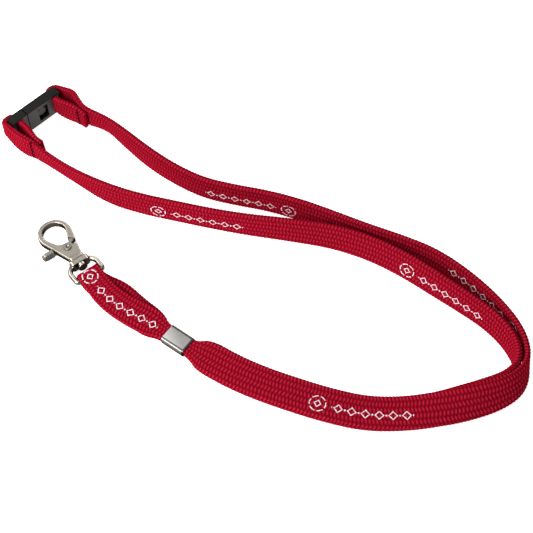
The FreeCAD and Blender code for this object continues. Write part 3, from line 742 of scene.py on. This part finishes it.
def motif_mask(n):
    """The white print: a dashed ring round a small diamond, then a row of open diamonds with dots."""
    spot = n.add("Attribute", attribute_name="motif")
    parts = n.add("SeparateXYZ")
    n.link(spot.outputs["Vector"], parts.inputs[0])
    x = n.math("MULTIPLY", parts.outputs[0], 1000)
    y = n.math("MULTIPLY", parts.outputs[1], 1000)
    y2 = n.math("MULTIPLY", y, y)
    off = n.math("ABSOLUTE", y)
    ring_x = n.math("SUBTRACT", x, RING_MIDDLE)
    bearing = n.math("ARCTAN2", y, ring_x)
    dashes = n.math("GREATER_THAN", n.math("COSINE", n.math("MULTIPLY", bearing, RING_DASHES)), DASH_CUT)
    ring = n.math("MULTIPLY", n.near(length_of(n, ring_x, y2), RING_R, RING_HALF), dashes)
    core = n.near(n.math("ADD", n.math("ABSOLUTE", ring_x), off), CORE_R, LINE_HALF)
    run = n.math("SUBTRACT", x, ROW_START)
    inside = n.math("MULTIPLY", n.math("GREATER_THAN", run, 0), n.math("LESS_THAN", run, ROW_LENGTH))
    cell = n.math("ABSOLUTE", n.math("SUBTRACT", n.math("MODULO", run, CELL), CELL / 2))
    diamond = n.near(n.math("ADD", cell, off), DIAMOND_R, LINE_HALF)
    dot = n.math("LESS_THAN", length_of(n, n.math("SUBTRACT", cell, CELL / 2), y2), DOT_R)
    row = n.math("MULTIPLY", inside, n.math("MAXIMUM", diamond, dot))
    any_part = n.math("MAXIMUM", n.math("MAXIMUM", ring, core), row)
    return n.math("MULTIPLY", any_part, n.math("GREATER_THAN", parts.outputs[2], 0.5))


def strap_material():
    n = Nodes("strap_red")
    height = n.add("Attribute", attribute_name="braid").outputs["Fac"]
    grid = n.add("Attribute", attribute_name="strap_uv").outputs["Vector"]
    wear = n.noise(grid, WEAR_SCALE, 4.0)
    fine = n.noise(grid, FINE_SCALE, 2.0)
    fibres = n.noise(grid, FIBRE_SCALE, 3.0)
    # Painted shade in the braid's gaps and a painted highlight on its bump tops, by bump height.
    colour = n.ramp(height, (0.0, GAP_SHADE_RED), (0.3, GAP_EDGE_SHADE_RED), (0.62, STRAP_RED), (1.0, BUMP_HIGHLIGHT_RED))
    colour = n.mix(n.math("MULTIPLY", wear, WEAR_SHARE), colour, WORN_RED)
    colour = n.mix(n.math("MULTIPLY", fibres, FIBRE_SHARE), colour, FIBRE_RED)
    cover = n.math("ADD", PRINT_COVER, n.math("MULTIPLY", height, 1 - PRINT_COVER))
    n.surface("Base Color", n.mix(n.math("MULTIPLY", motif_mask(n), cover), colour, PRINT_WHITE))
    n.surface("Roughness", 0.62)
    n.surface("Specular IOR Level", 0.0)
    detail = n.math("ADD", n.math("MULTIPLY", fibres, 0.5), n.math("MULTIPLY", fine, 0.5))
    n.surface("Normal", n.bump(detail, 0.35, 0.00012, n.bump(height, 0.5, 0.0004)))
    return n.material


def thread_material():
    n = Nodes("thread_dark")
    twist = n.noise(n.add("TexCoord").outputs["Object"], TWIST_SCALE)
    n.surface("Base Color", n.ramp(twist, (0.3, THREAD_DARK), (0.7, THREAD_LIGHT)))
    n.surface("Roughness", 0.8)
    n.surface("Specular IOR Level", 0.0)
    n.surface("Normal", n.bump(twist, 0.4, 0.0001))
    return n.material


def plastic_material():
    """Moulded plastic with a fine grain, and a dark line where plug and socket meet."""
    n = Nodes("buckle_plastic")
    coordinates = n.add("TexCoord").outputs["Object"]
    grain = n.noise(coordinates, GRAIN_SCALE, 4.0, 0.6)
    patch = n.noise(coordinates, PLASTIC_PATCH_SCALE, 3.0)
    colour = n.ramp(patch, (0.3, PLASTIC_DARK), (0.7, PLASTIC_LIGHT))
    along = n.slanted(coordinates, BUCKLE_CENTRE, BUCKLE_ANGLE)[0]
    joint = n.near(along, BUCKLE_JOINT, BUCKLE_JOINT_HALF)
    shine = n.math("ADD", 0.1, n.math("MULTIPLY", n.steepness(), 0.35))
    n.surface("Base Color", n.mix(joint, colour, JOINT_BLACK))
    n.surface("Roughness", n.spread(grain, 0.38, 0.62))
    n.surface("Specular IOR Level", n.math("MULTIPLY", shine, n.math("SUBTRACT", 1, joint)))
    n.surface("Normal", n.bump(grain, 0.25, 0.00012))
    return n.material


def crimp_lines(n, coordinates, colour):
    """Painted shade in lines along the sleeve's edges and across its end, and a painted highlight toward one
    corner.
    """
    along, across = n.slanted(coordinates, CRIMP_CENTRE, CRIMP_ANGLE)
    groove = n.near(n.math("ABSOLUTE", across), CRIMP_GROOVE, CRIMP_GROOVE_HALF)
    end = n.math("LESS_THAN", along, CRIMP_END)
    shine = n.math("ADD", n.math("MULTIPLY", across, SHINE_ACROSS), n.math("MULTIPLY", along, SHINE_ALONG))
    shine = n.math("ADD", shine, SHINE_MIDDLE, clamp=True)
    level = n.math("POWER", n.math("SUBTRACT", 1, n.steepness()), LEVEL_POWER)
    # The painted highlight, on level faces only.
    colour = n.mix(n.math("MULTIPLY", shine, level), colour, HIGHLIGHT_WHITE)
    # Painted shade along the long edges and painted shadow across the end.
    groove_shade = n.math("MULTIPLY", n.math("MAXIMUM", groove, end), GROOVE_SHARE)
    return n.mix(groove_shade, colour, GROOVE_SHADE_BLACK)


def metal_material(name, base, dark, side, low, high, reach=CREVICE_REACH, lines=False):
    """Plated metal with faint marks, a painted dark reflection on upright faces, and painted shade in narrow
    gaps.
    """
    n = Nodes(name)
    coordinates = n.add("TexCoord").outputs["Object"]
    marks = n.noise(coordinates, MARK_SCALE, 5.0, 0.6)
    patch = n.noise(coordinates, METAL_PATCH_SCALE, 2.0)
    crevice = n.add("AmbientOcclusion", samples=6)
    crevice.inputs["Distance"].default_value = reach
    shade = n.math("POWER", crevice.outputs["AO"], CREVICE_POWER)
    # A painted dark reflection on upright faces, standing in for the dark surroundings they would reflect.
    colour = n.mix(n.math("POWER", n.steepness(), SIDE_POWER), n.mix(patch, base, dark), side)
    if lines:
        colour = crimp_lines(n, coordinates, colour)
    # Painted shade in narrow gaps.
    n.surface("Base Color", n.mix(shade, CREVICE_SHADE_BLACK, colour))
    n.surface("Metallic", 1.0)
    n.surface("Specular Tint", METAL_TINT)
    n.surface("Roughness", n.spread(marks, low, high))
    n.surface("Normal", n.bump(marks, 0.12, 0.00008))
    return n.material


def paint(material, *nodes):
    for node in nodes:
        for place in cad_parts[node].material_slots:
            place.material = material


# ---------------------------------------------------------------- the scene
add_camera()
add_stage()
for light in LIGHTS:
    add_light(*light)
add_straps(strap_material(), thread_material())
paint(plastic_material(), "buckle_socket", "buckle_plug")
paint(metal_material("crimp_nickel", *CRIMP_TONES, CRIMP_REACH, lines=True), "crimp_sleeve")
hook_nickel = metal_material("hook_nickel", *HOOK_TONES)
paint(hook_nickel, "hook_body", "swivel_stem")
paint(metal_material("lever_nickel", *LEVER_TONES), "gate_lever", "lever_spring", "lever_rivet")
thick_eye(hook_nickel)
